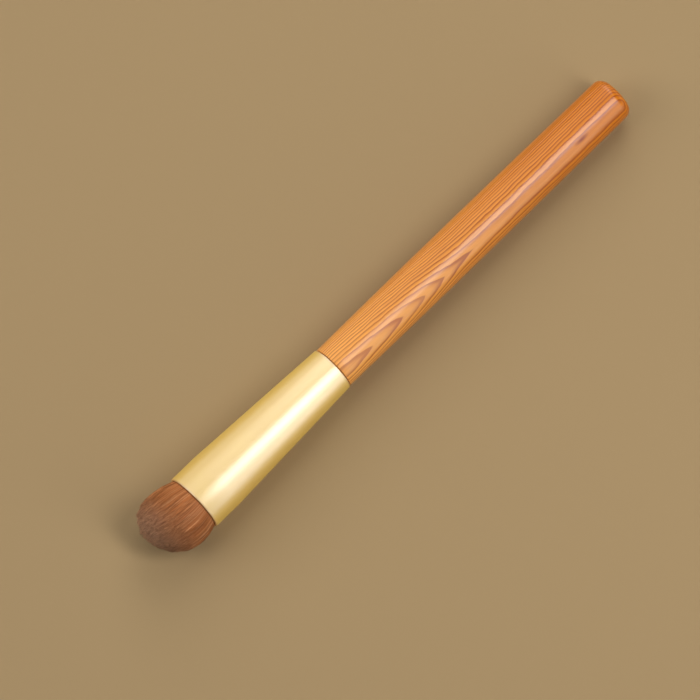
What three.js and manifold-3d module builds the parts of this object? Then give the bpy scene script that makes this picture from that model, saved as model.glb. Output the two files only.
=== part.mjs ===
// A concealer brush: a turned wooden handle, a tapered metal ferrule and a domed tuft of soft filaments.
// Sizes are in millimetres. The brush lies along X with +Z up: the flat of the butt is centred on the origin and
// the tuft points along +X.

import * as THREE from "three";
import { mergeVertices } from "three/addons/utils/BufferGeometryUtils.js";
import Module from "manifold-3d";

const wasm = await Module();
wasm.setup();

// Handle
const handleLength = 94.5; // from the butt to the shoulder that meets the ferrule
const buttDiameter = 11.2;
const buttEdgeRadius = 2.2;
const swellDiameter = 11.7; // the fullest part, where the fingers hold it
const swellFromShoulder = 31;
const neckDiameter = 11.4; // at the shoulder
const tenonLength = 18;
const tenonChamfer = 0.8;

// Ferrule
const ferruleLength = 46;
const ferruleWall = 0.5;
const mouthDiameter = 15.2;
const mouthStraight = 7.5; // the parallel part behind the mouth, before the taper
const tailDiameter = 11.8;
const ferruleEdgeRadius = 0.2;

// Tuft
const tuftLength = 14.3; // from the mouth to the top of the dome
const domeHeight = 7.4;
const bellyDiameter = 16.8;
const bellyReach = 6; // from the mouth to where the tuft is widest
const tuftBend = 2; // how far the top of the dome bends over towards -Y
const strandCount = 320;
const strandFill = 0.62; // a strand's width over the mean distance between strands
const strandTipShare = 0.55; // a strand's width at its tip over its width below
const strandSides = 3;

// Root of the tuft: resin-soaked slice, binding thread and resin plug
const rootDepth = 10; // from the mouth to the front of the slice
const strandEmbed = 1;
const threadDiameter = 0.5;
const threadTurns = 4;
const threadTurnGap = 0.5;
const sliceMargin = 0.5; // slice left bare at each end of the winding
const plugLength = 5;

// Clearances
const seamGap = 0.2; // between the shoulder and the ferrule's tail
const adhesiveThickness = 0.3; // between tenon and bore, at the tail
const adhesiveInset = 0.6; // the adhesive stops short of the tail and of the tenon's chamfer
const bondGap = 0.05; // between a bonded piece and what it is bonded to
const threadClearance = 0.15; // from the winding to the slice and to the bore
const mouthClearance = 0.2; // from the outer strands to the bore at the mouth
const restClearance = 0.1; // from the tuft's underside to the surface that the ferrule lies on

// Fineness
const turnSegments = 24; // even, with a flat facing down, so that the brush lies still
const bodySteps = 14;
const edgeSteps = 4;
const threadSides = 6;
const threadStepsPerTurn = 24;

// Sizes worked out from the ones above
const flatShare = Math.cos(Math.PI / turnSegments); // a facet's distance from the axis over its corners'
const tailX = handleLength + seamGap;
const mouthX = tailX + ferruleLength;
const taperEndX = mouthX - mouthStraight;
const mouthRadius = mouthDiameter / 2;
const tailRadius = tailDiameter / 2;
const tenonRadius = tailRadius - ferruleWall - adhesiveThickness;
const tenonEndX = handleLength + tenonLength;
const threadPitch = threadDiameter + threadTurnGap;
const windingLength = threadTurns * threadPitch + threadDiameter;
const sliceFrontX = mouthX - rootDepth;
const sliceBackX = sliceFrontX - windingLength - 2 * sliceMargin;
const sliceRadius = boreRadius(sliceBackX) * flatShare - threadDiameter - 2 * threadClearance;
const windingRadius = sliceRadius + threadClearance + threadDiameter / 2;

function boreRadius(x) {
  if (x >= taperEndX) return mouthRadius - ferruleWall;
  return THREE.MathUtils.mapLinear(x, tailX, taperEndX, tailRadius, mouthRadius) - ferruleWall;
}

// Points of a quarter round from one profile point to another, about the corner's centre.
function quarterRound(centreRadius, centreX, radius, startAngle) {
  const points = [];
  for (let i = 0; i <= edgeSteps; i++) {
    const angle = startAngle + ((Math.PI / 2) * i) / edgeSteps;
    points.push([centreRadius + radius * Math.cos(angle), centreX + radius * Math.sin(angle)]);
  }
  return points;
}

// A solid of revolution about X from [radius, x] points, with one facet facing straight down.
function turned(profile) {
  const points = profile.map(([radius, x]) => new THREE.Vector2(radius, x));
  const geometry = new THREE.LatheGeometry(points, turnSegments, Math.PI / turnSegments);
  return geometry.rotateZ(-Math.PI / 2);
}

function solidOf(geometry) {
  const bare = geometry.clone();
  bare.deleteAttribute("normal");
  bare.deleteAttribute("uv");
  const merged = mergeVertices(bare, 1e-4);
  return manifoldOf(merged.attributes.position.array, merged.index.array);
}

function manifoldOf(positions, indices) {
  const vertProperties = new Float32Array(positions);
  const triVerts = new Uint32Array(indices);
  return new wasm.Manifold(new wasm.Mesh({ numProp: 3, vertProperties, triVerts }));
}

function geometryOf(solid) {
  const mesh = solid.getMesh();
  const geometry = new THREE.BufferGeometry();
  geometry.setAttribute("position", new THREE.BufferAttribute(mesh.vertProperties, 3));
  geometry.setIndex(new THREE.BufferAttribute(mesh.triVerts, 1));
  geometry.computeVertexNormals();
  return geometry;
}

// Handle: rounded butt, a slight swell, and a tenon that the ferrule is glued over.
function handleGeometry() {
  const buttRadius = buttDiameter / 2;
  const body = new THREE.SplineCurve([
    new THREE.Vector2(buttRadius, buttEdgeRadius),
    new THREE.Vector2(swellDiameter / 2, handleLength - swellFromShoulder),
    new THREE.Vector2(neckDiameter / 2, handleLength),
  ]);
  return turned([
    [0, 0],
    ...quarterRound(buttRadius - buttEdgeRadius, buttEdgeRadius, buttEdgeRadius, -Math.PI / 2),
    ...body.getPoints(bodySteps).slice(1).map((point) => [point.x, point.y]),
    [tenonRadius, handleLength],
    [tenonRadius, tenonEndX - tenonChamfer],
    [tenonRadius - tenonChamfer, tenonEndX],
    [0, tenonEndX],
  ]);
}

// Ferrule: a thin drawn tube, parallel behind the mouth and tapering to the tail.
function ferruleGeometry() {
  const edge = Math.min(ferruleEdgeRadius, ferruleWall);
  const outside = [
    ...quarterRound(tailRadius - edge, tailX + edge, edge, -Math.PI / 2),
    [mouthRadius, taperEndX],
    ...quarterRound(mouthRadius - edge, mouthX - edge, edge, 0),
  ];
  const bore = [mouthX, taperEndX, tailX].map((x) => [boreRadius(x), x]);
  return turned([...outside, ...bore, outside[0]]);
}

// Tenon adhesive: a sleeve that fills the wedge between the parallel tenon and the tapered bore.
function adhesiveGeometry() {
  const startX = tailX + adhesiveInset;
  const endX = tenonEndX - tenonChamfer - adhesiveInset;
  const inner = tenonRadius + bondGap;
  return turned([
    [inner, startX],
    [boreRadius(startX) - bondGap, startX],
    [boreRadius(endX) - bondGap, endX],
    [inner, endX],
    [inner, startX],
  ]);
}

// Root plug: the resin behind the bound roots, which fills the bore.
function plugGeometry() {
  const frontX = sliceBackX - bondGap;
  const backX = frontX - plugLength;
  return turned([
    [0, backX],
    [boreRadius(backX) - bondGap, backX],
    [boreRadius(frontX) - bondGap, frontX],
    [0, frontX],
  ]);
}

// Binding thread: one unbroken winding round the slice.
class Winding extends THREE.Curve {
  getPoint(t, target = new THREE.Vector3()) {
    const turn = 2 * Math.PI * threadTurns * t;
    const x = sliceBackX + sliceMargin + threadDiameter / 2 + threadTurns * threadPitch * t;
    return target.set(x, windingRadius * Math.cos(turn), windingRadius * Math.sin(turn));
  }
}

function threadGeometry() {
  const section = [];
  for (let i = 0; i < threadSides; i++) {
    const angle = (2 * Math.PI * i) / threadSides;
    section.push(new THREE.Vector2(Math.cos(angle), Math.sin(angle)).multiplyScalar(threadDiameter / 2));
  }
  const winding = new Winding();
  const steps = threadTurns * threadStepsPerTurn;
  const gap = leastGap(winding, steps);
  console.log(`binding thread: least gap between its turns ${gap.toFixed(2)} mm`);
  return new THREE.ExtrudeGeometry(new THREE.Shape(section), { extrudePath: winding, steps });
}

// The least distance between points of a winding that lie at least half a turn apart, less its diameter.
function leastGap(winding, steps) {
  const points = [];
  for (let i = 0; i <= steps; i++) points.push(winding.getPoint(i / steps));
  let least = Infinity;
  points.forEach((point, i) => {
    for (const other of points.slice(i + threadStepsPerTurn / 2)) {
      least = Math.min(least, point.distanceTo(other));
    }
  });
  return least - threadDiameter;
}

// The tuft's outer radius at x, drawn in at its root, filling the mouth and swelling to the belly.
function bundleRadius(x) {
  const mouthBundle = boreRadius(mouthX) * flatShare - mouthClearance;
  if (x <= sliceFrontX) return sliceRadius;
  if (x <= mouthX) return THREE.MathUtils.mapLinear(x, sliceFrontX, mouthX, sliceRadius, mouthBundle);
  const rise = Math.sin((Math.PI / 2) * Math.min(1, (x - mouthX) / bellyReach));
  return THREE.MathUtils.lerp(mouthBundle, bellyDiameter / 2, rise);
}

// Strands are spread evenly over the bundle by the golden angle, so none crosses another.
function strandSeat(index) {
  const goldenAngle = Math.PI * (3 - Math.sqrt(5));
  const reach = Math.sqrt((index + 0.5) / strandCount);
  return { reach, across: reach * Math.cos(index * goldenAngle), up: reach * Math.sin(index * goldenAngle) };
}

// A strand runs from inside the slice through the mouth and belly to the dome, as a closed prism.
function strandSolid(index) {
  const seat = strandSeat(index);
  const sideLength = tuftLength - domeHeight;
  const length = sideLength + domeHeight * Math.sqrt(1 - seat.reach ** 2);
  const middle = Math.min(bellyReach, length / 2);
  const stations = [sliceFrontX - strandEmbed, mouthX, mouthX + middle, mouthX + length];
  const restRadius = mouthRadius * flatShare - restClearance;
  const positions = [];
  stations.forEach((x, station) => {
    const radius = bundleRadius(x);
    const width = radius * Math.sqrt(Math.PI / strandCount) * strandFill;
    const half = (width / 2) * (station === stations.length - 1 ? strandTipShare : 1);
    const bend = tuftBend * (Math.max(0, x - mouthX) / tuftLength) ** 2;
    const lift = seat.up < 0 ? Math.min(radius, restRadius) : radius;
    for (let side = 0; side < strandSides; side++) {
      const angle = index + (2 * Math.PI * side) / strandSides;
      const y = seat.across * (radius - width / 2) - bend + half * Math.cos(angle);
      const z = seat.up * (lift - width / 2) + half * Math.sin(angle);
      positions.push(x, y, z);
    }
  });
  return manifoldOf(positions, prismTriangles(stations.length, strandSides));
}

// Triangles of a prism whose corners are listed ring by ring along +X.
function prismTriangles(rings, sides) {
  const triangles = [];
  const last = (rings - 1) * sides;
  for (let side = 2; side < sides; side++) {
    triangles.push(0, side, side - 1);
    triangles.push(last, last + side - 1, last + side);
  }
  for (let ring = 0; ring < rings - 1; ring++) {
    for (let side = 0; side < sides; side++) {
      const here = ring * sides + side;
      const beside = ring * sides + ((side + 1) % sides);
      triangles.push(here, beside, beside + sides, here, beside + sides, here + sides);
    }
  }
  return triangles;
}

// Tuft: the strands, fused at their roots to a slice of resin.
function tuftGeometry() {
  const slice = turned([
    [0, sliceBackX],
    [sliceRadius, sliceBackX],
    [sliceRadius, sliceFrontX],
    [0, sliceFrontX],
  ]);
  const strands = Array.from({ length: strandCount }, (_, index) => strandSolid(index));
  return geometryOf(wasm.Manifold.union([solidOf(slice), ...strands]));
}

function piece(name, geometry, color, roughness, metalness) {
  const material = new THREE.MeshStandardMaterial({ color, roughness, metalness });
  const mesh = new THREE.Mesh(geometry, material);
  mesh.name = name;
  return mesh;
}

const brush = new THREE.Group();
brush.add(
  piece("handle", handleGeometry(), 0xd9823c, 0.35, 0),
  piece("ferrule", ferruleGeometry(), 0xd9b35c, 0.35, 1),
  piece("tenon_adhesive", adhesiveGeometry(), 0xe6dcc0, 0.5, 0),
  piece("bristle_tuft", tuftGeometry(), 0x8a4f2e, 0.6, 0),
  piece("binding_thread", threadGeometry(), 0xe8e2d4, 0.8, 0),
  piece("root_plug", plugGeometry(), 0xc9a25a, 0.25, 0),
);

export default brush;
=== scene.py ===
"""Dresses the concealer brush: a turned, varnished handle, a satin gold ferrule and a domed tuft."""

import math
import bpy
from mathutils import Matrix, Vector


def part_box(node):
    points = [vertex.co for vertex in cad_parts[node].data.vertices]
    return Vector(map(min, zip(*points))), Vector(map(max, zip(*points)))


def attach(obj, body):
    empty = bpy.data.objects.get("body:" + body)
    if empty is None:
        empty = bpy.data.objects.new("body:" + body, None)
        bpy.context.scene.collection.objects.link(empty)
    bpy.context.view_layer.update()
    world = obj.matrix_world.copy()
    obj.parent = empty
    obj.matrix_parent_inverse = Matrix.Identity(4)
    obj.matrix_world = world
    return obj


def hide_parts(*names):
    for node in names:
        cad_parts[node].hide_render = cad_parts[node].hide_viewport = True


bl_info = {
    "name": "Concealer Brush",
    "version": (1, 0, 0),
    "blender": (4, 5, 0),
    "location": "View3D > Sidebar > Brush",
    "description": "Makes the handle, ferrule and tuft of a concealer brush, and a studio to show it in",
    "category": "Object",
}

import bpy
import numpy as np
from bpy.props import FloatProperty, FloatVectorProperty, IntProperty, PointerProperty
from mathutils import Matrix, Vector

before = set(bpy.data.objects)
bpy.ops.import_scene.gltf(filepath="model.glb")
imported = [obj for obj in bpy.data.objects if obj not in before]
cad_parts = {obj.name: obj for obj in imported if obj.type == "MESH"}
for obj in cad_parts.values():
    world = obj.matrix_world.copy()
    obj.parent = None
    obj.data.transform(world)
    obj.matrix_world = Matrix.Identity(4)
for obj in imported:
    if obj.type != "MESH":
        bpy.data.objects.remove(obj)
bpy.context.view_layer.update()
HANDLE_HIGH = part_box("handle")[1]
FERRULE_LOW, FERRULE_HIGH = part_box("ferrule")
TUFT_LOW, TUFT_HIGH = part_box("bristle_tuft")

MM = 0.001
AXIS = (1, 0, 0)  # along the brush, from the butt to the tuft
QUARTER_TURN = math.pi / 2
GOLDEN_ANGLE = math.pi * (3 - math.sqrt(5))
SOLID_SIDES = 24  # the solids are turned with this many flats
FLAT_SHARE = math.cos(math.pi / SOLID_SIDES)  # a flat's distance from the axis over a corner's
LATHE_SIDES = 128
EDGE_STEPS = 5  # round a small edge
MERGE_GAP = 0.001 * MM  # corners closer than this become one
SMOOTH_ANGLE = math.radians(40)  # edges that turn more than this stay crisp


def srgb(red, green, blue):
    """A colour as a screen shows it, from 0 to 255, in linear values."""
    shares = (value / 255 for value in (red, green, blue))
    return tuple(v / 12.92 if v < 0.04045 else ((v + 0.055) / 1.055) ** 2.4 for v in shares)


def length(name, description, default):
    return FloatProperty(
        name=name,
        description=description,
        default=default,
        min=0,
        precision=5,
        subtype="DISTANCE",
        unit="LENGTH",
    )


def angle(name, description, degrees):
    return FloatProperty(
        name=name, description=description, default=math.radians(degrees), subtype="ANGLE"
    )


def colour(name, description, default):
    return FloatVectorProperty(
        name=name, description=description, default=default, size=3, min=0, max=1, subtype="COLOR"
    )


def share(name, description, default):
    return FloatProperty(
        name=name, description=description, default=default, min=0, max=1, subtype="FACTOR"
    )


def count(name, description, default):
    return IntProperty(name=name, description=description, default=default, min=1)


def amount(name, description, default, **options):
    return FloatProperty(name=name, description=description, default=default, min=0, **options)


class HandleSettings(bpy.types.PropertyGroup):
    """Sizes and wood of the handle"""

    butt_radius: length("Butt radius", "Radius at the butt end", 5.6 * MM)
    butt_edge: length("Butt edge", "Rounding of the butt's edge", 2.2 * MM)
    swell_radius: length("Swell radius", "Radius where it is fullest", HANDLE_HIGH.z / FLAT_SHARE)
    swell_back: length("Swell to shoulder", "From the fullest place to the shoulder", 31 * MM)
    neck_radius: length("Neck radius", "Radius at the shoulder", 5.7 * MM)
    seam_gap: length("Seam gap", "Between the shoulder and the ferrule", 0.2 * MM)
    shoulder_edge: length("Shoulder edge", "Rounding of the shoulder's edge", 0.18 * MM)
    tenon_radius: length("Tenon radius", "Radius of the tenon in the ferrule", 5.1 * MM)
    tenon_chamfer: length("Tenon chamfer", "Chamfer at the tenon's end", 0.8 * MM)
    early_wood: colour("Early wood", "Colour between the growth lines", srgb(254, 184, 92))
    late_wood: colour("Late wood", "Colour of the growth lines", srgb(164, 79, 29))
    patch_wood: colour("Patches", "Colour that the wood turns to in soft patches", srgb(236, 145, 64))
    butt_wood: colour("Butt tint", "Tint that deepens the wood towards the butt", (0.71, 0.45, 0.02))
    ring_step: length("Ring step", "Thickness of a year's growth", 0.7 * MM)
    ring_radius: length("Ring radius", "Radius of the growth layers", 24 * MM)
    grain_facing: angle("Grain facing", "Side where the growth layers lie flat to the surface", 37)
    arrow_tips: FloatVectorProperty(
        name="Arrow tips",
        description="Places of the arrow marks' tips, from the butt",
        default=(51.9 * MM, 61.2 * MM, 67.7 * MM, 75 * MM, 84.7 * MM),
        size=5,
        unit="LENGTH",
    )
    mark_place: length("Mark place", "From the butt to a small dark mark in the grain", 14.6 * MM)
    mark_facing: angle("Mark facing", "Side where that mark lies", 28.6479)
    mark_reach: length("Mark reach", "Half the length of that mark", 2.6 * MM)
    mark_width: length("Mark width", "Half the width of that mark", 0.6 * MM)
    mark_depth: length("Mark depth", "Half the height of that mark, mostly inside the wood", 3 * MM)


class FerruleSettings(bpy.types.PropertyGroup):
    """Sizes and metal of the ferrule"""

    mouth_radius: length("Mouth radius", "Outer radius at the tuft", FERRULE_HIGH.z / FLAT_SHARE)
    mouth_straight: length("Mouth straight", "Parallel part behind the mouth", 7.5 * MM)
    tail_radius: length("Tail radius", "Outer radius at the handle", 5.9 * MM)
    wall: length("Wall", "Thickness of the metal", 0.5 * MM)
    edge: length("Edge", "Rounding of the rims", 0.2 * MM)
    metal: colour("Metal", "Colour of the anodised metal", srgb(242, 203, 48))
    # A darker gold, painted along both rims as shade where the ferrule meets the handle and the tuft.
    rim_shade_colour: colour("Rim metal", "Colour of the rims' edges", srgb(214, 166, 80))
    roughness: share("Roughness", "Roughness of the satin finish", 0.72)
    metallic: share("Metallic", "Part of the light that the satin metal mirrors", 0.6)
    sheen: share("Sheen roughness", "Roughness of the white sheen over the gold", 0.41)
    sheen_index: amount("Sheen index", "Refractive index that sets how strong the sheen is", 3.9)


class TuftSettings(bpy.types.PropertyGroup):
    """Sizes and filaments of the tuft"""

    reach: length("Length", "From the mouth to the top of the dome", TUFT_HIGH.x - FERRULE_HIGH.x)
    dome: length("Dome height", "Height of the rounded end", 8 * MM)
    mouth_radius: length("Radius at the mouth", "Radius of the bundle in the ferrule's mouth", 7.03 * MM)
    belly_radius: length("Belly radius", "Radius where the tuft is widest", 8.12 * MM)
    belly_reach: length("Belly reach", "From the mouth to where it is widest", 4.6 * MM)
    bend: length("Bend", "How far the top bends over to one side", 1.9 * MM)
    root_front: length("Root front", "From the mouth down to the bound roots", 10 * MM)
    root_radius: length("Root radius", "Radius of the bound roots", 5.8 * MM)
    filament: length("Filament width", "Width of a filament", 0.12 * MM)
    strands: count("Filaments", "Number of filaments", 18000)
    locks: count("Locks", "Number of small locks that the filaments gather in", 800)
    seed: count("Seed", "Picks one scatter of the filaments", 7)
    gather: share("Gather", "How far the tips gather into locks", 0.34)
    soft: share("Softness", "How far the filaments are shaded as one soft mass", 0.85)
    root_tone: colour("Root colour", "Colour near the metal", srgb(186, 110, 54))
    tip_tone: colour("Tip colour", "Colour of the tips", srgb(188, 142, 110))
    pale_tone: colour("Pale colour", "Colour that the palest filaments lean to", srgb(236, 178, 126))
    root_resin: colour("Root resin", "Colour of the resin among the bound roots", srgb(206, 150, 84))


class RootSettings(bpy.types.PropertyGroup):
    """Colours of the glue and thread inside the ferrule"""

    glue: colour("Glue", "Colour of the glue on the tenon", srgb(224, 212, 180))
    resin: colour("Resin", "Colour of the resin behind the roots", srgb(200, 160, 96))
    thread: colour("Thread", "Colour of the thread", srgb(236, 230, 214))
    thread_shade: colour("Thread shade", "Colour in the thread's twist", srgb(190, 178, 150))


class StageSettings(bpy.types.PropertyGroup):
    """Floor, light and camera"""

    floor: colour("Floor", "Colour of the floor", srgb(162, 138, 101))
    lens: amount("Lens", "Focal length", 655.75, unit="CAMERA")
    distance: length("Camera distance", "From the camera to the brush", 3.0)
    target: FloatVectorProperty(
        name="Target",
        description="Place at the middle of the picture",
        default=(88.59 * MM, -0.33 * MM, 0),
        subtype="XYZ_LENGTH",
        unit="LENGTH",
    )
    turn: angle("Turn", "Turn of the picture's right side from the brush's axis", 135.08)
    tilt: angle("Tilt", "Tilt of the camera from straight above", 12.7)
    wide_box: amount("Wide softbox", "Power of the wide softbox over one side", 3.8, unit="POWER")
    end_box: amount("End softboxes", "Power of each softbox past an end of the brush", 3.1, unit="POWER")
    small_box: amount("Small softbox", "Power of the small softbox over the other side", 1.7, unit="POWER")
    strip_box: amount("Strip softbox", "Power of the strip softbox past the small one", 2.2, unit="POWER")
    walls: amount("Walls", "Light of the white walls all round, at the horizon", 1.35)
    ceiling: amount("Ceiling", "Light of the ceiling", 0.02)


class Finish:
    """A material being made: adds nodes and joins them."""

    def __init__(self, name):
        self.material = bpy.data.materials.new(name)
        self.material.use_nodes = True
        self.tree = self.material.node_tree
        self.shader = self.tree.nodes["Principled BSDF"]

    def feed(self, socket, value):
        """Joins a socket to another node's output, or sets it to a fixed value."""
        if isinstance(value, bpy.types.NodeSocket):
            self.tree.links.new(value, socket)
        else:
            socket.default_value = value

    def fill(self, node, inputs):
        """Feeds a node's inputs by their names, with an underscore for each space."""
        for name, value in inputs.items():
            self.feed(node.inputs[name.replace("_", " ")], value)

    def add(self, kind, output, settings=None, **inputs):
        """Adds a node and returns one of its outputs."""
        node = self.tree.nodes.new("ShaderNode" + kind)
        for name, value in (settings or {}).items():
            setattr(node, name, value)
        self.fill(node, inputs)
        return node.outputs[output]

    def maths(self, operation, *values, kind="Math"):
        """One step of arithmetic on values, or on vectors that give a value."""
        node = self.tree.nodes.new("ShaderNode" + kind)
        node.operation = operation
        for socket, value in zip(node.inputs, values):
            self.feed(socket, value)
        return node.outputs["Value"]

    def along(self, point, direction):
        """How far a point lies along a direction."""
        return self.maths("DOT_PRODUCT", point, direction, kind="VectorMath")

    def distance(self, point):
        """How far a point lies from the origin."""
        return self.maths("LENGTH", point, kind="VectorMath")

    def place(self):
        return self.add("TexCoord", "Object")

    def noise(self, point, cells, detail=2.0, roughness=0.5):
        """Noise with so many cells to a metre, the same all ways or along X, Y and Z."""
        if isinstance(cells, tuple):
            point = self.add("Mapping", "Vector", Vector=point, Scale=cells)
            cells = 1
        return self.add("TexNoise", "Fac", Vector=point, Scale=cells, Detail=detail, Roughness=roughness)

    def spread(self, value, low, high, start=0.0, stop=1.0):
        """A value between start and stop spread between low and high."""
        return self.add(
            "MapRange", "Result", Value=value, From_Min=start, From_Max=stop, To_Min=low, To_Max=high
        )

    def ramp(self, value, stops):
        """A grey level for a value, from (position, level) stops."""
        node = self.tree.nodes.new("ShaderNodeValToRGB")
        elements = node.color_ramp.elements
        while len(elements) < len(stops):
            elements.new(0.5)
        for element, (position, level) in zip(elements, stops):
            element.position = position
            element.color = (level, level, level, 1)
        self.feed(node.inputs["Fac"], value)
        return node.outputs["Color"]

    def curve(self, value, points):
        """A smooth curve through (position, level) points."""
        node = self.tree.nodes.new("ShaderNodeFloatCurve")
        line = node.mapping.curves[0].points
        for position, level in points[1:-1]:
            line.new(position, level)
        line[0].location = points[0]
        line[len(points) - 1].location = points[-1]
        node.mapping.update()
        self.feed(node.inputs["Value"], value)
        return node.outputs["Value"]

    def blend(self, factor, first, second, kind="MIX"):
        """Two colours mixed by a factor."""
        node = self.tree.nodes.new("ShaderNodeMix")
        node.data_type = "RGBA"
        node.blend_type = kind
        inputs = {socket.identifier: socket for socket in node.inputs}
        self.feed(inputs["Factor_Float"], factor)
        self.feed(inputs["A_Color"], opaque(first))
        self.feed(inputs["B_Color"], opaque(second))
        return next(socket for socket in node.outputs if socket.identifier == "Result_Color")

    def bump(self, height, strength, distance):
        return self.add("Bump", "Normal", Height=height, Strength=strength, Distance=distance)

    def shade(self, **inputs):
        """Feeds the surface and returns the finished material."""
        self.fill(self.shader, inputs)
        return self.material


def opaque(tone):
    """A fixed colour with its alpha, or a node's output as it is."""
    return tone if isinstance(tone, bpy.types.NodeSocket) else (*tone, 1)


def darker(tone, by):
    return tuple(by * value for value in tone)


CREASE = 0.12  # slope at which a growth layer falls away from the arrow marks' middle line
CALM_SHARE = 0.2  # part of the wavering that is left on that line
CALM_REACH = 3 * MM  # from that line to where the layers waver freely
WAVERS = (  # cells to a metre, and swing
    ((25, 160, 160), 0.15 * MM),
    ((200, 500, 500), 0.11 * MM),
)
LEVEL_GAINS = ((0, 0.75), (0.5, 0.7), (0.78, 0.72))  # part of the way to the first tip, and layers gained
LAST_GAIN = 0.75  # layers gained between the last tip and the ferrule


def growth_layers(finish, place, handle):
    """Counts the growth layers from the heart of the tree outwards, wavering a little along the grain."""
    out = (0, math.sin(handle.grain_facing), math.cos(handle.grain_facing))
    side = (0, math.cos(handle.grain_facing), -math.sin(handle.grain_facing))
    across = finish.along(place, side)
    beside = finish.maths("ABSOLUTE", across)
    bow = finish.maths("DIVIDE", finish.maths("MULTIPLY", across, across), 2 * handle.ring_radius)
    fall = finish.maths("ADD", bow, finish.maths("MULTIPLY", beside, CREASE))
    layer = finish.maths("SUBTRACT", finish.along(place, out), fall)
    free = finish.spread(beside, low=CALM_SHARE, high=1, start=0, stop=CALM_REACH)
    for cells, swing in WAVERS:
        wander = finish.noise(place, cells, detail=1.5)
        wander = finish.spread(wander, low=-swing, high=swing, start=0.3, stop=0.7)
        layer = finish.maths("ADD", layer, finish.maths("MULTIPLY", wander, free))
    rings = finish.maths("DIVIDE", layer, handle.ring_step)
    return finish.maths("ADD", rings, flame(finish, place, handle))


def flame(finish, place, handle):
    """Layers that the cut gains along the handle: one more at each arrow tip, level towards the butt."""
    tips = handle.arrow_tips
    most = len(tips) + 1
    full = tips[len(tips) // 2]  # the wood is taken as fullest from the middle tip on
    gains = [(way * tips[0], gain) for way, gain in LEVEL_GAINS]
    gains += [(tip, number) for number, tip in enumerate(tips, 1)]
    gains += [(FERRULE_LOW.x, len(tips) + LAST_GAIN), (HANDLE_HIGH.x, most)]
    points = []
    for x, gain in gains:
        rise = math.sin(min(x / full, 1) * QUARTER_TURN)
        radius = handle.butt_radius + (handle.swell_radius - handle.butt_radius) * rise
        cut_away = (handle.swell_radius - radius) / handle.ring_step
        points.append((x / HANDLE_HIGH.x, (gain + cut_away) / most))
    run = finish.maths("DIVIDE", finish.along(place, AXIS), HANDLE_HIGH.x)
    start = (-handle.swell_radius / handle.ring_step) % 1  # makes the count whole at the tips
    return finish.maths("MULTIPLY_ADD", finish.curve(run, points), most, start)


LINE_STOPS = ((0, 1), (0.14, 0.92), (0.34, 0.36), (0.62, 0), (0.93, 0), (1, 1))  # darkness through a layer
FIBRES = (90, 4200, 4200)  # cells to a metre, as in the three below
STREAKS = (28, 1100, 1100)
PATCHES = (22, 130, 130)
VARNISH_FLOW = (160, 500, 500)
LINE_RELIEF = 0.3  # how much the growth lines show in the varnish, beside its flow
BUTT_FADE = 0.75  # the wood deepens with this power of the way to the butt
CORE_OF_MARK = 0.2  # part of the dark mark that is darkest all over


def dark_mark(finish, place, handle):
    """How near a place is to the small dark mark in the grain."""
    radius, facing = handle.swell_radius, handle.mark_facing
    spot = (handle.mark_place, radius * math.sin(facing), radius * math.cos(facing))
    from_spot = finish.add(
        "Mapping",
        "Vector",
        {"vector_type": "TEXTURE"},
        Vector=place,
        Location=spot,
        Scale=(handle.mark_reach, handle.mark_width, handle.mark_depth),
    )
    return finish.spread(finish.distance(from_spot), low=1, high=0, start=CORE_OF_MARK, stop=1)


def varnished_wood(handle):
    """Wood cut close to its growth layers, which leave arrow marks on one side, under clear varnish."""
    finish = Finish("varnished_wood")
    place = finish.place()
    rings = growth_layers(finish, place, handle)
    line = finish.ramp(finish.maths("FRACT", rings), LINE_STOPS)
    year = finish.add("TexWhiteNoise", "Value", {"noise_dimensions": "1D"}, W=finish.maths("FLOOR", rings))
    line = finish.maths("MULTIPLY", line, finish.spread(year, low=0.7, high=1))
    fibre = finish.noise(place, FIBRES, detail=3, roughness=0.6)
    streak = finish.noise(place, STREAKS, roughness=0.6)
    patch = finish.noise(place, PATCHES)
    to_butt = finish.spread(finish.along(place, AXIS), low=1, high=0, start=0, stop=FERRULE_LOW.x)
    wood = finish.blend(line, handle.early_wood, handle.late_wood)
    wood = finish.blend(finish.spread(fibre, low=0, high=0.18), wood, darker(handle.late_wood, by=0.55))
    streaked = finish.spread(streak, low=0, high=0.35, start=0.45, stop=0.8)
    wood = finish.blend(streaked, wood, handle.late_wood)
    wood = finish.blend(finish.spread(patch, low=0, high=0.3), wood, handle.patch_wood)
    wood = finish.blend(dark_mark(finish, place, handle), wood, handle.late_wood)
    wood = finish.blend(finish.maths("POWER", to_butt, BUTT_FADE), wood, handle.butt_wood, "MULTIPLY")
    flow = finish.noise(place, VARNISH_FLOW, detail=1)
    relief = finish.maths("MULTIPLY_ADD", line, LINE_RELIEF, flow)
    return finish.shade(
        Base_Color=wood,
        Roughness=finish.spread(fibre, low=0.45, high=0.65),
        Specular_IOR_Level=0.05,
        Normal=finish.bump(fibre, strength=0.08, distance=0.05 * MM),
        Coat_Weight=1.0,
        Coat_Roughness=0.28,
        Coat_IOR=1.5,
        Coat_Normal=finish.bump(relief, strength=0.09, distance=0.08 * MM),
    )


SATIN_GRAIN = 9000  # cells to a metre, as in the two below
METAL_CLOUDS = 140
DRAWN_LINES = (40, 1500, 1500)
CLOUD_TINT = (0.95, 0.91, 0.82)  # what the clouds multiply the metal's colour by
RIM_START = 0.45 * MM  # from the ferrule's end to where the rims' painted shade begins
RIM_FULL = 0.15 * MM  # from the end to where it is strongest


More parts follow.
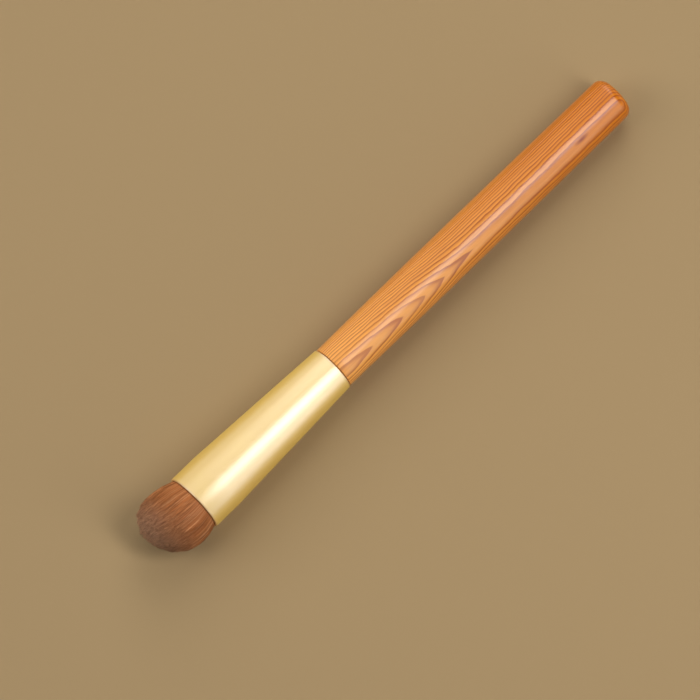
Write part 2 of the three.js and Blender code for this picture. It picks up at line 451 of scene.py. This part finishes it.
def satin_gold(ferrule):
    """Anodised metal with a fine satin grain under a white sheen, and painted shade in a darker gold along
    its rims.
    """
    finish = Finish("satin_gold")
    place = finish.place()
    grain = finish.noise(place, SATIN_GRAIN)
    drawn = finish.noise(place, DRAWN_LINES, detail=3, roughness=0.6)
    cloud = finish.noise(place, METAL_CLOUDS)
    middle = (FERRULE_LOW.x + FERRULE_HIGH.x) / 2
    half = (FERRULE_HIGH.x - FERRULE_LOW.x) / 2
    from_middle = finish.maths("ABSOLUTE", finish.maths("SUBTRACT", finish.along(place, AXIS), middle))
    # Painted shade: a band of darker gold along both rims.
    rim_shade_band = finish.spread(from_middle, low=0, high=0.8, start=half - RIM_START, stop=half - RIM_FULL)
    uneven = finish.maths(
        "ADD", finish.spread(drawn, low=-0.05, high=0.05), finish.spread(cloud, low=-0.04, high=0.04)
    )
    deep = tuple(value * tint for value, tint in zip(ferrule.metal, CLOUD_TINT))
    gold = finish.blend(finish.spread(cloud, low=0, high=0.9), ferrule.metal, deep)
    return finish.shade(
        Base_Color=finish.blend(rim_shade_band, gold, ferrule.rim_shade_colour),
        Metallic=ferrule.metallic,
        Roughness=finish.maths("ADD", uneven, ferrule.roughness),
        Normal=finish.bump(grain, strength=0.06, distance=0.02 * MM),
        Coat_Weight=1.0,
        Coat_Roughness=ferrule.sheen,
        Coat_IOR=ferrule.sheen_index,
    )


TIP_STOPS = ((0, 0), (0.4, 0.04), (0.66, 0.45), (0.9, 1))  # share of the tips' colour along the tuft
MOUTH_SHADE = 0.3 * MM  # from the mouth, each way, to where the painted shade at the mouth begins and ends


def soft_filament(tuft):
    """Red-brown filaments that grey towards the top, each with a tone of its own, with painted shade where
    they leave the mouth.
    """
    finish = Finish("soft_filament")
    tone = finish.add("Attribute", "Fac", {"attribute_name": "tone"})
    run = finish.along(finish.place(), AXIS)
    mouth = FERRULE_HIGH.x
    rise = finish.spread(run, low=0, high=1, start=mouth, stop=mouth + tuft.reach)
    body = finish.blend(finish.ramp(rise, TIP_STOPS), tuft.root_tone, tuft.tip_tone)
    body = finish.blend(finish.spread(tone, low=0, high=0.45, start=0.75, stop=1), body, tuft.pale_tone)
    body = finish.blend(
        finish.spread(tone, low=0, high=1, start=0, stop=0.7), darker(tuft.root_tone, by=0.3), body
    )
    # Painted shade: the filaments darken where they come out of the ferrule's mouth.
    out = finish.spread(run, low=0, high=1, start=mouth - MOUTH_SHADE, stop=mouth + MOUTH_SHADE)
    body = finish.blend(out, darker(tuft.root_tone, by=0.2), body)
    return finish.shade(Base_Color=body, Roughness=0.5, Specular_IOR_Level=0.25)


ROOT_FIBRES = (120, 6000, 6000)  # cells to a metre, as in the three below
TWIST = (9000, 2500, 2500)
RESIN_CLOUDS = 700
FLOOR_CLOUDS = 6


def soaked_roots(tuft):
    """Filament ends set in amber resin."""
    finish = Finish("soaked_roots")
    fibre = finish.noise(finish.place(), ROOT_FIBRES)
    return finish.shade(
        Base_Color=finish.blend(fibre, darker(tuft.root_tone, by=0.35), tuft.root_resin),
        Roughness=finish.spread(fibre, low=0.2, high=0.45),
        Normal=finish.bump(fibre, strength=0.3, distance=0.05 * MM),
    )


def cured_resin(name, tone):
    """Glossy glue with small darker clouds in it."""
    finish = Finish(name)
    cloud = finish.noise(finish.place(), RESIN_CLOUDS, detail=3)
    return finish.shade(
        Base_Color=finish.blend(cloud, tone, darker(tone, by=0.6)),
        Roughness=finish.spread(cloud, low=0.15, high=0.4),
        Normal=finish.bump(cloud, strength=0.1, distance=0.1 * MM),
    )


def waxed_thread(inside):
    """Twisted pale thread."""
    finish = Finish("waxed_thread")
    twist = finish.noise(finish.place(), TWIST)
    return finish.shade(
        Base_Color=finish.blend(twist, inside.thread, inside.thread_shade),
        Roughness=0.75,
        Normal=finish.bump(twist, strength=0.4, distance=0.05 * MM),
    )


def plain_floor(stage):
    """Matt painted board."""
    finish = Finish("plain_floor")
    cloud = finish.noise(finish.place(), FLOOR_CLOUDS)
    return finish.shade(
        Base_Color=finish.blend(cloud, stage.floor, darker(stage.floor, by=0.97)),
        Roughness=0.9,
        Specular_IOR_Level=0.2,
    )


def back_edge(end, radius, edge, steps=EDGE_STEPS):
    """(x, radius) points round the edge of a back end, from its face out to its side."""
    turns = (math.radians(180 - 90 * i / steps) for i in range(steps + 1))
    return [(end + edge + edge * math.cos(t), radius - edge + edge * math.sin(t)) for t in turns]


def front_edge(end, radius, edge, steps=EDGE_STEPS):
    """(x, radius) points round the edge of a front end, from its side in to its face."""
    turns = (math.radians(90 - 90 * i / steps) for i in range(steps + 1))
    return [(end - edge + edge * math.cos(t), radius - edge + edge * math.sin(t)) for t in turns]


def turn_on_lathe(name, rings, hollow=False):
    """Extrudes a circle through (x, radius) rings along the axis. A hollow one ends on its first ring."""
    x, radius = rings[0]
    bpy.ops.object.select_all(action="DESELECT")
    bpy.ops.mesh.primitive_circle_add(
        vertices=LATHE_SIDES,
        radius=radius,
        fill_type="NOTHING" if hollow else "NGON",
        location=(x, 0, 0),
        rotation=(0, QUARTER_TURN, 0),
    )
    piece = bpy.context.object
    piece.name = piece.data.name = name
    bpy.ops.object.transform_apply(location=True, rotation=True, scale=True)
    bpy.ops.object.mode_set(mode="EDIT")
    bpy.ops.mesh.select_all(action="SELECT")
    for next_x, next_radius in rings[1:]:
        bpy.ops.mesh.extrude_region_move(TRANSFORM_OT_translate={"value": (next_x - x, 0, 0)})
        ratio = next_radius / radius
        bpy.ops.transform.resize(value=(1, ratio, ratio), center_override=(next_x, 0, 0))
        x, radius = next_x, next_radius
    bpy.ops.mesh.select_all(action="SELECT")
    bpy.ops.mesh.remove_doubles(threshold=MERGE_GAP)
    bpy.ops.mesh.normals_make_consistent(inside=False)
    bpy.ops.object.mode_set(mode="OBJECT")
    bpy.ops.object.shade_smooth_by_angle(angle=SMOOTH_ANGLE)
    return piece


def dress(piece, material, node):
    """Gives a new piece its finish, hangs it on the brush's body and hides the solid it stands for."""
    piece.data.materials.append(material)
    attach(piece, "root")
    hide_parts(node)


class BRUSH_OT_handle(bpy.types.Operator):
    """Turn the wooden handle with its tenon"""

    bl_idname = "brush.handle"
    bl_label = "Handle"

    BUTT_STEPS = 12
    BACK_STEPS = 24  # from the butt to the fullest place
    FRONT_STEPS = 16  # from there to the shoulder

    def execute(self, context):
        handle = context.scene.brush_handle
        shoulder = FERRULE_LOW.x - handle.seam_gap
        tenon_end = HANDLE_HIGH.x
        butt = (handle.butt_edge, handle.butt_radius)
        swell = (shoulder - handle.swell_back, handle.swell_radius)
        neck = (shoulder - handle.shoulder_edge, handle.neck_radius)
        rings = back_edge(0, handle.butt_radius, handle.butt_edge, self.BUTT_STEPS)
        rings += self.sweep(butt, swell, self.BACK_STEPS, math.sin)
        rings += self.sweep(swell, neck, self.FRONT_STEPS, lambda turn: 1 - math.cos(turn))
        rings += front_edge(shoulder, handle.neck_radius, handle.shoulder_edge)[1:]
        rings += [
            (shoulder, handle.tenon_radius),
            (tenon_end - handle.tenon_chamfer, handle.tenon_radius),
            (tenon_end, handle.tenon_radius - handle.tenon_chamfer),
        ]
        piece = turn_on_lathe("turned_handle", rings)
        dress(piece, varnished_wood(handle), "handle")
        return {"FINISHED"}

    def sweep(self, start, stop, steps, ease):
        """(x, radius) points of a soft curve that levels out at the fullest place."""
        points = []
        for i in range(1, steps + 1):
            done = i / steps
            radius = start[1] + (stop[1] - start[1]) * ease(done * QUARTER_TURN)
            points.append((start[0] + (stop[0] - start[0]) * done, radius))
        return points


class BRUSH_OT_ferrule(bpy.types.Operator):
    """Draw the thin metal ferrule"""

    bl_idname = "brush.ferrule"
    bl_label = "Ferrule"

    def execute(self, context):
        ferrule = context.scene.brush_ferrule
        tail, mouth = FERRULE_LOW.x, FERRULE_HIGH.x
        taper_end = mouth - ferrule.mouth_straight
        rings = back_edge(tail, ferrule.tail_radius, ferrule.edge)
        rings += [(taper_end, ferrule.mouth_radius)]
        rings += front_edge(mouth, ferrule.mouth_radius, ferrule.edge)
        rings += [
            (mouth, ferrule.mouth_radius - ferrule.wall),
            (taper_end, ferrule.mouth_radius - ferrule.wall),
            (tail, ferrule.tail_radius - ferrule.wall),
            rings[0],
        ]
        piece = turn_on_lathe("drawn_ferrule", rings, hollow=True)
        dress(piece, satin_gold(ferrule), "ferrule")
        return {"FINISHED"}


class BRUSH_OT_tuft(bpy.types.Operator):
    """Bind the roots of the tuft and plant its filaments"""

    bl_idname = "brush.tuft"
    bl_label = "Tuft"

    LAYERS = ("tuft_heart", "tuft_middle", "tuft_coat")  # from the axis outwards
    STATIONS = np.array([0, 0, 0.14, 0.4, 0.74, 1])  # a filament's rings: root, mouth, parts of its length
    THICKNESS = np.array([1, 1, 1, 1, 0.85, 0.3])  # at the same rings, over its width
    ROOT_EDGE = 0.3 * MM  # rounding of the bound roots
    ROOT_STEPS = 4  # round that edge
    ROOT_DEPTH = 0.4 * MM  # how far the filaments go into the bound roots
    ROOT_FILL = 0.97  # part of the bound roots' radius that they fill
    SEAT_JITTER = 0.35  # how far a filament's seat is moved at random, over about half their spacing
    LOCK_JITTER = 0.3  # the same for a lock's middle
    LOCK_RISE = 0.2 * MM  # how much the locks' heights differ
    LOCK_DROP = 1.5  # how many of those rises they lie below the dome on average
    SHORTFALL = 0.6 * MM  # how far the shortest filament stays below its lock's top
    STRAY = 0.014  # how far the tips stray, over the tuft's radius
    USUAL_TONE = 0.66  # from 0, dark, to 1, pale
    LOCK_TONE = 0.05  # how much the locks' tones differ
    OWN_TONE = 0.22  # how much the filaments' own tones differ
    DARKEST_TONE = 0.05

    def execute(self, context):
        tuft = context.scene.brush_tuft
        rest = context.scene.brush_ferrule.mouth_radius
        self.bind(tuft)
        draw = np.random.default_rng(tuft.seed)
        pattern = self.filament()
        seats, locks = self.seats(tuft, draw)
        from_axis = np.argsort(np.hypot(seats[:, 0], seats[:, 1]))
        material = soft_filament(tuft)
        for name, chosen in zip(self.LAYERS, np.array_split(from_axis, len(self.LAYERS))):
            piece = self.plant(name, pattern, seats[chosen], locks[chosen], rest, tuft, draw)
            dress(piece, material, "bristle_tuft")
        bpy.data.meshes.remove(pattern)
        return {"FINISHED"}

    def bind(self, tuft):
        """The slice of resin that holds the roots, under the winding."""
        back, front = TUFT_LOW.x, FERRULE_HIGH.x - tuft.root_front
        rings = back_edge(back, tuft.root_radius, self.ROOT_EDGE, self.ROOT_STEPS)
        rings += front_edge(front, tuft.root_radius, self.ROOT_EDGE, self.ROOT_STEPS)
        dress(turn_on_lathe("bound_roots", rings), soaked_roots(tuft), "bristle_tuft")

    def filament(self):
        """One filament as rings of a three-sided rod, each ring at its number along X."""
        bpy.ops.object.select_all(action="DESELECT")
        bpy.ops.mesh.primitive_circle_add(
            vertices=3, radius=1, fill_type="NGON", rotation=(0, QUARTER_TURN, 0)
        )
        bpy.ops.object.transform_apply(location=False, rotation=True, scale=True)
        bpy.ops.object.mode_set(mode="EDIT")
        bpy.ops.mesh.select_all(action="SELECT")
        for _ in self.STATIONS[1:]:
            bpy.ops.mesh.extrude_region_move(TRANSFORM_OT_translate={"value": AXIS})
        bpy.ops.mesh.select_all(action="SELECT")
        bpy.ops.mesh.normals_make_consistent(inside=False)
        bpy.ops.object.mode_set(mode="OBJECT")
        rod = bpy.context.object
        mesh = rod.data
        bpy.data.objects.remove(rod)
        return mesh

    def scatter(self, number, draw, jitter):
        """Places spread evenly over a round of radius 1, each moved a little."""
        index = np.arange(number)
        radius = np.sqrt((index + 0.5) / number)
        turn = index * GOLDEN_ANGLE
        places = np.stack([radius * np.cos(turn), radius * np.sin(turn)], 1)
        return places + draw.normal(0, jitter / math.sqrt(number), places.shape)

    def seats(self, tuft, draw):
        """Each filament's seat, and its lock's middle, height and tone."""
        seats = self.scatter(tuft.strands, draw, self.SEAT_JITTER)
        middles = self.scatter(tuft.locks, draw, self.LOCK_JITTER)
        apart = ((seats[:, None, :] - middles[None, :, :]) ** 2).sum(2)
        locks = np.column_stack([middles, draw.normal(0, 1, (tuft.locks, 2))])
        return seats, locks[apart.argmin(1)]

    def plant(self, name, pattern, seats, locks, rest, tuft, draw):
        """Copies the filament to each seat and bends the copies to the shape of the tuft."""
        number = len(seats)
        size = len(pattern.vertices)
        corners = np.empty(size * 3)
        pattern.vertices.foreach_get("co", corners)
        corners = corners.reshape(-1, 3)
        ring = np.rint(corners[:, 0]).astype(int)
        route, outward = self.routes(seats, locks, rest, tuft, draw)
        turn = draw.random(number) * 2 * math.pi
        cos, sin = np.cos(turn)[:, None], np.sin(turn)[:, None]
        side = corners[:, 1] * cos - corners[:, 2] * sin
        rise = corners[:, 1] * sin + corners[:, 2] * cos
        facing = np.stack([np.zeros_like(side), side, rise], 2)
        half = tuft.filament / 2 * self.THICKNESS[ring]
        points = route[:, ring] + facing * half[:, None]
        normals = tuft.soft * outward[:, ring] + (1 - tuft.soft) * facing
        tone = self.USUAL_TONE + self.LOCK_TONE * locks[:, 3] + self.OWN_TONE * draw.normal(0, 1, number)
        tone = np.clip(tone, self.DARKEST_TONE, 1)
        faces = [tuple(face.vertices) for face in pattern.polygons]
        copies = [tuple(v + i * size for v in face) for i in range(number) for face in faces]
        mesh = bpy.data.meshes.new(name)
        mesh.from_pydata(points.reshape(-1, 3), [], copies)
        mesh.polygons.foreach_set("use_smooth", np.ones(len(mesh.polygons), bool))
        mesh.normals_split_custom_set_from_vertices(normals.reshape(-1, 3))
        attribute = mesh.attributes.new("tone", "FLOAT", "POINT")
        attribute.data.foreach_set("value", np.repeat(tone, size).astype(np.float32))
        piece = bpy.data.objects.new(name, mesh)
        bpy.context.scene.collection.objects.link(piece)
        return piece

    def routes(self, seats, locks, rest, tuft, draw):
        """Where each filament runs, from the bound roots to the dome, and how the tuft faces there."""
        number = len(seats)
        mouth = FERRULE_HIGH.x
        out = np.clip(np.hypot(seats[:, 0], seats[:, 1]), 0, 1)
        tall = tuft.reach - tuft.dome + tuft.dome * np.sqrt(1 - out**2)
        tall += self.LOCK_RISE * (locks[:, 2] - self.LOCK_DROP) - self.SHORTFALL * draw.random(number) ** 2
        past = tall[:, None] * self.STATIONS
        x = mouth + past
        x[:, 0] = mouth - tuft.root_front - self.ROOT_DEPTH
        rise = np.sin(np.clip(past / tuft.belly_reach, 0, 1) * QUARTER_TURN)
        radius = tuft.mouth_radius + (tuft.belly_radius - tuft.mouth_radius) * rise
        radius[:, 0] = self.ROOT_FILL * tuft.root_radius
        gather = tuft.gather * self.STATIONS**2
        stray = draw.normal(0, self.STRAY, (number, 2))
        across = seats[:, :1] + gather * (locks[:, :1] - seats[:, :1]) + stray[:, :1] * self.STATIONS
        up = seats[:, 1:] + gather * (locks[:, 1:2] - seats[:, 1:]) + stray[:, 1:] * self.STATIONS
        y = across * radius - tuft.bend * (past / tuft.reach) ** 2
        z = up * np.where(up < 0, np.minimum(radius, rest), radius)
        over = np.maximum(past - (tuft.reach - tuft.dome), 0) / tuft.dome**2
        outward = np.stack([over, across / radius, up / radius], 2)
        outward /= np.linalg.norm(outward, axis=2, keepdims=True)
        return np.stack([x, y, z], 2), outward


class BRUSH_OT_root(bpy.types.Operator):
    """Finish the glue and thread inside the ferrule"""

    bl_idname = "brush.root"
    bl_label = "Glue and thread"

    def execute(self, context):
        inside = context.scene.brush_root
        finishes = {
            "tenon_adhesive": cured_resin("handle_adhesive", inside.glue),
            "binding_thread": waxed_thread(inside),
            "root_plug": cured_resin("root_resin", inside.resin),
        }
        for node, material in finishes.items():
            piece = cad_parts[node]
            piece.data.materials.clear()
            piece.data.materials.append(material)
        return {"FINISHED"}


class BRUSH_OT_stage(bpy.types.Operator):
    """Lay the brush on a floor among softboxes and set the camera"""

    bl_idname = "brush.stage"
    bl_label = "Stage"

    FLOOR_SIZE = 4  # metres each way
    LIGHT_TINT = (1, 0.98, 0.95)
    WALL_TOP = 0.39  # rise of the sight line at which the walls' light has faded
    # Name, setting that holds the power, place from the target, size along and across the brush.
    SOFTBOXES = (
        ("wide_softbox", "wide_box", (0, -0.43, 0.65), (2, 0.9)),
        ("butt_softbox", "end_box", (-0.6, -0.5, 0.6), (0.5, 0.9)),
        ("tuft_softbox", "end_box", (0.6, -0.5, 0.6), (0.5, 0.9)),
        ("small_softbox", "small_box", (-0.21, 0.3, 0.65), (0.2, 0.4)),
        ("strip_softbox", "strip_box", (-0.21, 0.55, 0.5), (0.3, 1)),
    )

    def execute(self, context):
        stage = context.scene.brush_stage
        slope = self.floor(context, stage)
        self.camera(context, stage, slope)
        for name, power, place, size in self.SOFTBOXES:
            self.softbox(context, stage, name, getattr(stage, power), Vector(place), size)
        self.room(context, stage)
        context.scene.view_settings.view_transform = "Standard"
        return {"FINISHED"}

    def floor(self, context, stage):
        """The floor touches the butt and the ferrule where it is widest, so it slopes a little."""
        handle, ferrule = context.scene.brush_handle, context.scene.brush_ferrule
        butt = Vector((handle.butt_edge, 0, -handle.butt_radius))
        widest = Vector((FERRULE_HIGH.x - ferrule.mouth_straight, 0, -ferrule.mouth_radius))
        slope = math.atan2(butt.z - widest.z, widest.x - butt.x)
        bpy.ops.object.select_all(action="DESELECT")
        bpy.ops.mesh.primitive_plane_add(
            size=self.FLOOR_SIZE, location=(butt + widest) / 2, rotation=(0, slope, 0)
        )
        floor = context.object
        floor.name = "floor"
        floor.data.materials.append(plain_floor(stage))
        return slope

    def camera(self, context, stage, slope):
        """Looks down on the brush, as it lies slanting across the picture."""
        level = Matrix.Rotation(slope, 3, "Y")
        right = level @ Vector((math.cos(stage.turn), math.sin(stage.turn), 0))
        normal = level @ Vector((0, 0, 1))
        back = math.cos(stage.tilt) * normal - math.sin(stage.tilt) * normal.cross(right)
        axes = Matrix((right, back.cross(right), back)).transposed()
        bpy.ops.object.camera_add()
        camera = context.object
        eye = Vector(stage.target) + stage.distance * back
        camera.matrix_world = Matrix.Translation(eye) @ axes.to_4x4()
        camera.data.lens = stage.lens
        context.scene.camera = camera

    def softbox(self, context, stage, name, power, offset, size):
        """A soft lamp that faces the brush, with one side along it."""
        back = offset.normalized()
        sideways = (Vector(AXIS) - back.x * back).normalized()
        axes = Matrix((sideways, back.cross(sideways), back)).transposed()
        bpy.ops.object.light_add(type="AREA")
        lamp = context.object
        lamp.name = name
        lamp.data.shape = "RECTANGLE"
        lamp.data.size, lamp.data.size_y = size
        lamp.data.energy = power
        lamp.data.color = self.LIGHT_TINT
        lamp.matrix_world = Matrix.Translation(Vector(stage.target) + offset) @ axes.to_4x4()

    def room(self, context, stage):
        """White walls all round under a darker ceiling."""
        world = bpy.data.worlds.new("room")
        world.use_nodes = True
        tree = world.node_tree
        background = tree.nodes["Background"]
        background.inputs["Color"].default_value = (*self.LIGHT_TINT, 1)
        height = tree.nodes.new("ShaderNodeSeparateXYZ")
        level = tree.nodes.new("ShaderNodeMapRange")
        level.interpolation_type = "SMOOTHSTEP"
        level.inputs["From Max"].default_value = self.WALL_TOP
        level.inputs["To Min"].default_value = stage.walls
        level.inputs["To Max"].default_value = stage.ceiling
        direction = tree.nodes.new("ShaderNodeTexCoord").outputs["Generated"]
        tree.links.new(direction, height.inputs["Vector"])
        tree.links.new(height.outputs["Z"], level.inputs["Value"])
        tree.links.new(level.outputs["Result"], background.inputs["Strength"])
        context.scene.world = world


class BRUSH_PT_panel(bpy.types.Panel):
    """Lists the brush's pieces and their settings"""

    bl_idname = "BRUSH_PT_panel"
    bl_label = "Concealer Brush"
    bl_space_type = "VIEW_3D"
    bl_region_type = "UI"
    bl_category = "Brush"

    def draw(self, context):
        for operator, settings, _ in STEPS:
            box = self.layout.box()
            box.operator(operator.bl_idname)
            group = getattr(context.scene, settings)
            for name in group.__annotations__:
                box.prop(group, name)


STEPS = (  # operator, name of its settings in the scene, and their group
    (BRUSH_OT_handle, "brush_handle", HandleSettings),
    (BRUSH_OT_ferrule, "brush_ferrule", FerruleSettings),
    (BRUSH_OT_tuft, "brush_tuft", TuftSettings),
    (BRUSH_OT_root, "brush_root", RootSettings),
    (BRUSH_OT_stage, "brush_stage", StageSettings),
)
CLASSES = (
    *(group for _, _, group in STEPS),
    *(operator for operator, _, _ in STEPS),
    BRUSH_PT_panel,
)


def register():
    for cls in CLASSES:
        bpy.utils.register_class(cls)
    for _, settings, group in STEPS:
        setattr(bpy.types.Scene, settings, PointerProperty(type=group))


def unregister():
    for _, settings, _ in STEPS:
        delattr(bpy.types.Scene, settings)
    for cls in reversed(CLASSES):
        bpy.utils.unregister_class(cls)


def main():
    register()
    bpy.ops.brush.handle()
    bpy.ops.brush.ferrule()
    bpy.ops.brush.tuft()
    bpy.ops.brush.root()
    bpy.ops.brush.stage()


if __name__ == "__main__":
    main()
